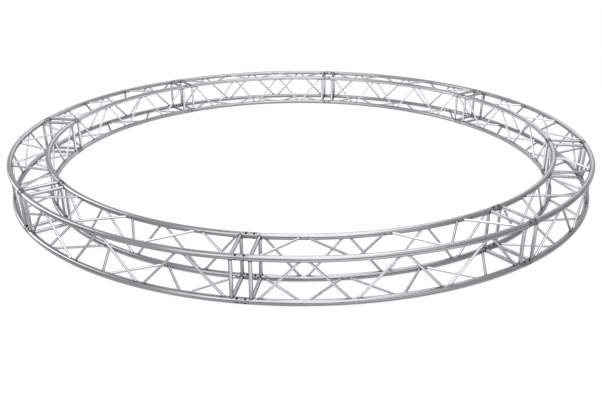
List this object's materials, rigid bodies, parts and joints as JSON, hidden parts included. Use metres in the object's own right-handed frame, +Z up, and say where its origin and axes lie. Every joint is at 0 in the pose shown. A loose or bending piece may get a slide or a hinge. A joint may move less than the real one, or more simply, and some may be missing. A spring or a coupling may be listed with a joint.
{
  "type": "circular lighting truss",
  "caption": "Closed ring of curved square box truss for hanging stage lights: welded tube segments joined by conical couplers and tapered cross pins",
  "frame": {"origin": "centre of the ring at the level of the bottom of the bottom chords", "axes": "+Z up, along the ring's axis; joint 1 lies on -Y, and the joints follow each other counter-clockwise from above"},
  "size_m": [5.997, 5.997, 0.4],
  "materials": {
    "aluminium_tube": "bare extruded tube, satin",
    "machined_aluminium": "turned, bright",
    "blackened_steel": "blackened, oiled"
  },
  "bodies": {
    "ring": {"segment_1_frame": "aluminium_tube", "segment_2_frame": "aluminium_tube", "segment_3_frame": "aluminium_tube", "segment_4_frame": "aluminium_tube", "segment_5_frame": "aluminium_tube", "segment_6_frame": "aluminium_tube", "segment_7_frame": "aluminium_tube", "segment_8_frame": "aluminium_tube", "joint_1_coupler_outer_bottom": "machined_aluminium", "joint_1_coupler_outer_top": "machined_aluminium", "joint_1_coupler_inner_top": "machined_aluminium", "joint_1_coupler_inner_bottom": "machined_aluminium", "joint_2_coupler_outer_bottom": "machined_aluminium", "joint_2_coupler_outer_top": "machined_aluminium", "joint_2_coupler_inner_top": "machined_aluminium", "joint_2_coupler_inner_bottom": "machined_aluminium", "joint_3_coupler_outer_bottom": "machined_aluminium", "joint_3_coupler_outer_top": "machined_aluminium", "joint_3_coupler_inner_top": "machined_aluminium", "joint_3_coupler_inner_bottom": "machined_aluminium", "joint_4_coupler_outer_bottom": "machined_aluminium", "joint_4_coupler_outer_top": "machined_aluminium", "joint_4_coupler_inner_top": "machined_aluminium", "joint_4_coupler_inner_bottom": "machined_aluminium", "joint_5_coupler_outer_bottom": "machined_aluminium", "joint_5_coupler_outer_top": "machined_aluminium", "joint_5_coupler_inner_top": "machined_aluminium", "joint_5_coupler_inner_bottom": "machined_aluminium", "joint_6_coupler_outer_bottom": "machined_aluminium", "joint_6_coupler_outer_top": "machined_aluminium", "joint_6_coupler_inner_top": "machined_aluminium", "joint_6_coupler_inner_bottom": "machined_aluminium", "joint_7_coupler_outer_bottom": "machined_aluminium", "joint_7_coupler_outer_top": "machined_aluminium", "joint_7_coupler_inner_top": "machined_aluminium", "joint_7_coupler_inner_bottom": "machined_aluminium", "joint_8_coupler_outer_bottom": "machined_aluminium", "joint_8_coupler_outer_top": "machined_aluminium", "joint_8_coupler_inner_top": "machined_aluminium", "joint_8_coupler_inner_bottom": "machined_aluminium"},
    "joint_1_pin_outer_bottom_left": {"joint_1_pin_outer_bottom_left": "blackened_steel"},
    "joint_1_pin_outer_bottom_right": {"joint_1_pin_outer_bottom_right": "blackened_steel"},
    "joint_1_pin_outer_top_left": {"joint_1_pin_outer_top_left": "blackened_steel"},
    "joint_1_pin_outer_top_right": {"joint_1_pin_outer_top_right": "blackened_steel"},
    "joint_1_pin_inner_top_left": {"joint_1_pin_inner_top_left": "blackened_steel"},
    "joint_1_pin_inner_top_right": {"joint_1_pin_inner_top_right": "blackened_steel"},
    "joint_1_pin_inner_bottom_left": {"joint_1_pin_inner_bottom_left": "blackened_steel"},
    "joint_1_pin_inner_bottom_right": {"joint_1_pin_inner_bottom_right": "blackened_steel"}
  },
  "joints": [
    {"name": "draw_outer_bottom_left", "type": "slide", "parent": "ring", "child": "joint_1_pin_outer_bottom_left", "axis": [0, -0.5, 0.866], "range_m": [0, 0.05]},
    {"name": "draw_outer_bottom_right", "type": "slide", "parent": "ring", "child": "joint_1_pin_outer_bottom_right", "axis": [0, -0.5, 0.866], "range_m": [0, 0.05]},
    {"name": "draw_outer_top_left", "type": "slide", "parent": "ring", "child": "joint_1_pin_outer_top_left", "axis": [0, -0.5, 0.866], "range_m": [0, 0.05]},
    {"name": "draw_outer_top_right", "type": "slide", "parent": "ring", "child": "joint_1_pin_outer_top_right", "axis": [0, -0.5, 0.866], "range_m": [0, 0.05]},
    {"name": "draw_inner_top_left", "type": "slide", "parent": "ring", "child": "joint_1_pin_inner_top_left", "axis": [0, -0.5, 0.866], "range_m": [0, 0.05]},
    {"name": "draw_inner_top_right", "type": "slide", "parent": "ring", "child": "joint_1_pin_inner_top_right", "axis": [0, -0.5, 0.866], "range_m": [0, 0.05]},
    {"name": "draw_inner_bottom_left", "type": "slide", "parent": "ring", "child": "joint_1_pin_inner_bottom_left", "axis": [0, -0.5, 0.866], "range_m": [0, 0.05]},
    {"name": "draw_inner_bottom_right", "type": "slide", "parent": "ring", "child": "joint_1_pin_inner_bottom_right", "axis": [0, -0.5, 0.866], "range_m": [0, 0.05]}
  ]
}
